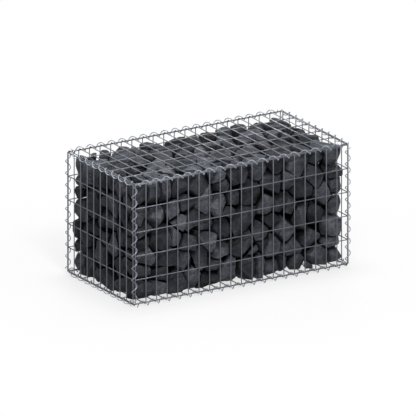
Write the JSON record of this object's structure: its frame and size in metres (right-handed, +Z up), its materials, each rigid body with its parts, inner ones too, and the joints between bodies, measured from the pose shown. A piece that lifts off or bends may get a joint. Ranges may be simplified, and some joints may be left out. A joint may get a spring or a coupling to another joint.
{
  "type": "stone-filled gabion basket",
  "caption": "Rectangular welded-mesh basket, laced along its edges with spiral binders and filled with broken dark stone, used as a wall unit.",
  "frame": {"origin": "on the ground, under the middle of the basket's box", "axes": "+X along the length, towards the right end seen from the front; +Y from front to back; +Z up"},
  "size_m": [1.0318, 0.5352, 0.53],
  "materials": {
    "mesh_wire": "dull galvanised",
    "spiral_wire": "dull galvanised",
    "broken_stone": "rough broken faces"
  },
  "bodies": {
    "root": {"front_panel": "mesh_wire", "back_panel": "mesh_wire", "left_panel": "mesh_wire", "right_panel": "mesh_wire", "base_panel": "mesh_wire", "lid_panel": "mesh_wire", "spiral_front_bottom": "spiral_wire", "spiral_front_top": "spiral_wire", "spiral_back_bottom": "spiral_wire", "spiral_back_top": "spiral_wire", "spiral_left_bottom": "spiral_wire", "spiral_left_top": "spiral_wire", "spiral_right_bottom": "spiral_wire", "spiral_right_top": "spiral_wire", "spiral_front_left": "spiral_wire", "spiral_front_right": "spiral_wire", "spiral_back_left": "spiral_wire", "spiral_back_right": "spiral_wire", "stone_course_1": "broken_stone", "stone_course_2": "broken_stone", "stone_course_3": "broken_stone", "stone_course_4": "broken_stone", "stone_course_5": "broken_stone"}
  },
  "joints": []
}
